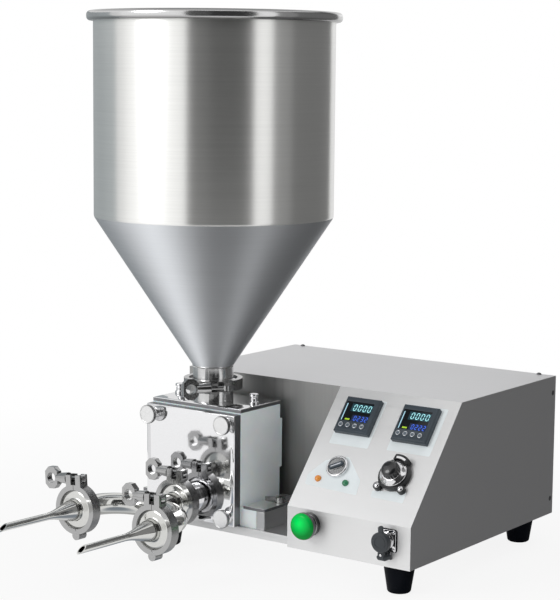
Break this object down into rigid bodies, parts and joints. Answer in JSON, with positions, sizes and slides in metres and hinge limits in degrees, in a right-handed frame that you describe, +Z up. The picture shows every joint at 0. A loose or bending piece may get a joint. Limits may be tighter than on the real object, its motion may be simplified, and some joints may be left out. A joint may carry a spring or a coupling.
{
  "type": "filling depositor",
  "caption": "Countertop filling depositor: round hopper over a lobe pump, forked outlet with needle nozzles, stainless cabinet with a sloping control panel.",
  "frame": {"origin": "under the middle of the whole machine's outline, on the surface that its feet stand on", "axes": "+X to the right seen from the front, +Y to the back, +Z up; the nozzles point to -Y"},
  "size_m": [0.4724, 0.6281, 0.6608],
  "materials": {
    "cabinet_steel": "brushed stainless sheet",
    "hopper_steel": "spun stainless, brushed round the axis",
    "polished_steel": "mirror-polished stainless",
    "clamp_steel": "cast stainless, polished",
    "tube_steel": "polished stainless tube",
    "turned_steel": "turned stainless",
    "white_plastic": "white acetal",
    "white_silicone": "white silicone",
    "motor_paint": "dark grey paint",
    "foot_rubber": "black rubber",
    "black_plastic": "black plastic",
    "meter_plastic": "dark slate plastic",
    "key_silver": "silver keys",
    "control_chrome": "chromed metal",
    "collar_metal": "dark metal ring",
    "button_green": "glossy green plastic",
    "lamp_amber": "amber lens",
    "lamp_green": "green lens"
  },
  "bodies": {
    "machine": {"cabinet_cover": "cabinet_steel", "base_tray": "cabinet_steel", "rear_panel": "cabinet_steel", "hopper": "hopper_steel", "front_plate": "polished_steel", "top_plate": "polished_steel", "hold_plates": "polished_steel", "neck_clamp": "clamp_steel", "outlet_clamp": "clamp_steel", "left_nozzle_clamp": "clamp_steel", "right_nozzle_clamp": "clamp_steel", "manifold": "tube_steel", "left_nozzle": "tube_steel", "right_nozzle": "tube_steel", "thumb_screws": "turned_steel", "top_screws": "turned_steel", "guide_rails": "turned_steel", "pump_body": "white_plastic", "rear_cover": "white_plastic", "ferrule_gaskets": "white_silicone", "face_seal": "white_silicone", "shaft_seals": "white_silicone", "gear_motor": "motor_paint", "rubber_feet": "foot_rubber", "dial_base": "black_plastic", "cable_gland": "black_plastic", "left_meter": "meter_plastic", "right_meter": "meter_plastic", "selector_body": "control_chrome", "pedal_socket": "control_chrome", "button_collar": "collar_metal", "amber_lamp": "lamp_amber", "green_lamp": "lamp_green"},
    "drive": {"drive_rotor": "white_plastic", "drive_shaft": "turned_steel", "output_spindle": "turned_steel"},
    "driven": {"driven_rotor": "white_plastic", "driven_shaft": "turned_steel"},
    "neck_clamp_bolt": {"neck_clamp_bolt": "clamp_steel"},
    "neck_clamp_nut": {"neck_clamp_nut": "clamp_steel"},
    "outlet_clamp_bolt": {"outlet_clamp_bolt": "clamp_steel"},
    "outlet_clamp_nut": {"outlet_clamp_nut": "clamp_steel"},
    "left_nozzle_clamp_bolt": {"left_nozzle_clamp_bolt": "clamp_steel"},
    "left_nozzle_clamp_nut": {"left_nozzle_clamp_nut": "clamp_steel"},
    "right_nozzle_clamp_bolt": {"right_nozzle_clamp_bolt": "clamp_steel"},
    "right_nozzle_clamp_nut": {"right_nozzle_clamp_nut": "clamp_steel"},
    "wing_screw": {"wing_screw": "turned_steel"},
    "left_meter_key_1": {"left_meter_key_1": "key_silver"},
    "left_meter_key_2": {"left_meter_key_2": "key_silver"},
    "left_meter_key_3": {"left_meter_key_3": "key_silver"},
    "left_meter_key_4": {"left_meter_key_4": "key_silver"},
    "right_meter_key_1": {"right_meter_key_1": "key_silver"},
    "right_meter_key_2": {"right_meter_key_2": "key_silver"},
    "right_meter_key_3": {"right_meter_key_3": "key_silver"},
    "right_meter_key_4": {"right_meter_key_4": "key_silver"},
    "start_button": {"start_button": "button_green"},
    "selector": {"selector_knob": "control_chrome"},
    "dial": {"dial_skirt": "control_chrome", "dial_knob": "black_plastic"},
    "socket_cap": {"socket_cap": "black_plastic"}
  },
  "joints": [
    {"name": "drive_spin", "type": "hinge", "parent": "machine", "child": "drive", "pos_m": [-0.06025, -0.03453, 0.1345], "axis": [0, 1, 0], "continuous": true},
    {"name": "driven_spin", "type": "hinge", "parent": "machine", "child": "driven", "pos_m": [-0.10425, -0.03453, 0.1345], "axis": [0, 1, 0], "continuous": true},
    {"name": "neck_clamp_swing", "type": "hinge", "parent": "machine", "child": "neck_clamp_bolt", "pos_m": [-0.04468, -0.02276, 0.2095], "axis": [0, 0, 1], "range_deg": [0, 100]},
    {"name": "neck_clamp_nut_turn", "type": "hinge", "parent": "neck_clamp_bolt", "child": "neck_clamp_nut", "pos_m": [-0.04468, -0.02276, 0.2095], "axis": [-0.6428, -0.766, 0], "continuous": true},
    {"name": "outlet_clamp_swing", "type": "hinge", "parent": "machine", "child": "outlet_clamp_bolt", "pos_m": [-0.07475, -0.07103, 0.1075], "axis": [0, 1, 0], "range_deg": [0, 100]},
    {"name": "outlet_clamp_nut_turn", "type": "hinge", "parent": "outlet_clamp_bolt", "child": "outlet_clamp_nut", "pos_m": [-0.07475, -0.07103, 0.1075], "axis": [-1, 0, 0], "continuous": true},
    {"name": "left_nozzle_clamp_swing", "type": "hinge", "parent": "machine", "child": "left_nozzle_clamp_bolt", "pos_m": [-0.13729, -0.18218, 0.11219], "axis": [-0.001, 0.9997, -0.0227], "range_deg": [0, 100]},
    {"name": "left_nozzle_clamp_nut_turn", "type": "hinge", "parent": "left_nozzle_clamp_bolt", "child": "left_nozzle_clamp_nut", "pos_m": [-0.13729, -0.18218, 0.11219], "axis": [-0.9962, -0.003, -0.0871], "continuous": true},
    {"name": "right_nozzle_clamp_swing", "type": "hinge", "parent": "machine", "child": "right_nozzle_clamp_bolt", "pos_m": [-0.01618, -0.18218, 0.10667], "axis": [-0.001, 0.9997, -0.0227], "range_deg": [0, 100]},
    {"name": "right_nozzle_clamp_nut_turn", "type": "hinge", "parent": "right_nozzle_clamp_bolt", "child": "right_nozzle_clamp_nut", "pos_m": [-0.01618, -0.18218, 0.10667], "axis": [-0.9997, -0.0016, -0.0262], "continuous": true},
    {"name": "wing_screw_turn", "type": "hinge", "parent": "machine", "child": "wing_screw", "pos_m": [0.0167, 0.00572, 0.0707], "axis": [0, 0, 1], "continuous": true},
    {"name": "left_meter_key_1_press", "type": "slide", "parent": "machine", "child": "left_meter_key_1", "axis": [0, 0.7618, -0.6478], "range_m": [0, 0.0005], "stiffness_N_per_m": 300},
    {"name": "left_meter_key_2_press", "type": "slide", "parent": "machine", "child": "left_meter_key_2", "axis": [0, 0.7618, -0.6478], "range_m": [0, 0.0005], "stiffness_N_per_m": 300},
    {"name": "left_meter_key_3_press", "type": "slide", "parent": "machine", "child": "left_meter_key_3", "axis": [0, 0.7618, -0.6478], "range_m": [0, 0.0005], "stiffness_N_per_m": 300},
    {"name": "left_meter_key_4_press", "type": "slide", "parent": "machine", "child": "left_meter_key_4", "axis": [0, 0.7618, -0.6478], "range_m": [0, 0.0005], "stiffness_N_per_m": 300},
    {"name": "right_meter_key_1_press", "type": "slide", "parent": "machine", "child": "right_meter_key_1", "axis": [0, 0.7618, -0.6478], "range_m": [0, 0.0005], "stiffness_N_per_m": 300},
    {"name": "right_meter_key_2_press", "type": "slide", "parent": "machine", "child": "right_meter_key_2", "axis": [0, 0.7618, -0.6478], "range_m": [0, 0.0005], "stiffness_N_per_m": 300},
    {"name": "right_meter_key_3_press", "type": "slide", "parent": "machine", "child": "right_meter_key_3", "axis": [0, 0.7618, -0.6478], "range_m": [0, 0.0005], "stiffness_N_per_m": 300},
    {"name": "right_meter_key_4_press", "type": "slide", "parent": "machine", "child": "right_meter_key_4", "axis": [0, 0.7618, -0.6478], "range_m": [0, 0.0005], "stiffness_N_per_m": 300},
    {"name": "start_button_press", "type": "slide", "parent": "machine", "child": "start_button", "axis": [0, 1, 0], "range_m": [0, 0.004], "stiffness_N_per_m": 600},
    {"name": "selector_turn", "type": "hinge", "parent": "machine", "child": "selector", "pos_m": [0.11125, -0.0098, 0.13045], "axis": [0, 0.7618, -0.6478], "range_deg": [0, 90]},
    {"name": "dial_turn", "type": "hinge", "parent": "machine", "child": "dial", "pos_m": [0.19075, -0.00916, 0.13121], "axis": [0, 0.7618, -0.6478], "range_deg": [0, 3600]},
    {"name": "socket_cap_hinge", "type": "hinge", "parent": "machine", "child": "socket_cap", "pos_m": [0.20565, -0.05853, 0.0486], "axis": [1, 0, 0], "range_deg": [0, 120]}
  ],
  "couplings": [
    {"joint": "driven_spin", "follows": "drive_spin", "ratio": -1}
  ]
}
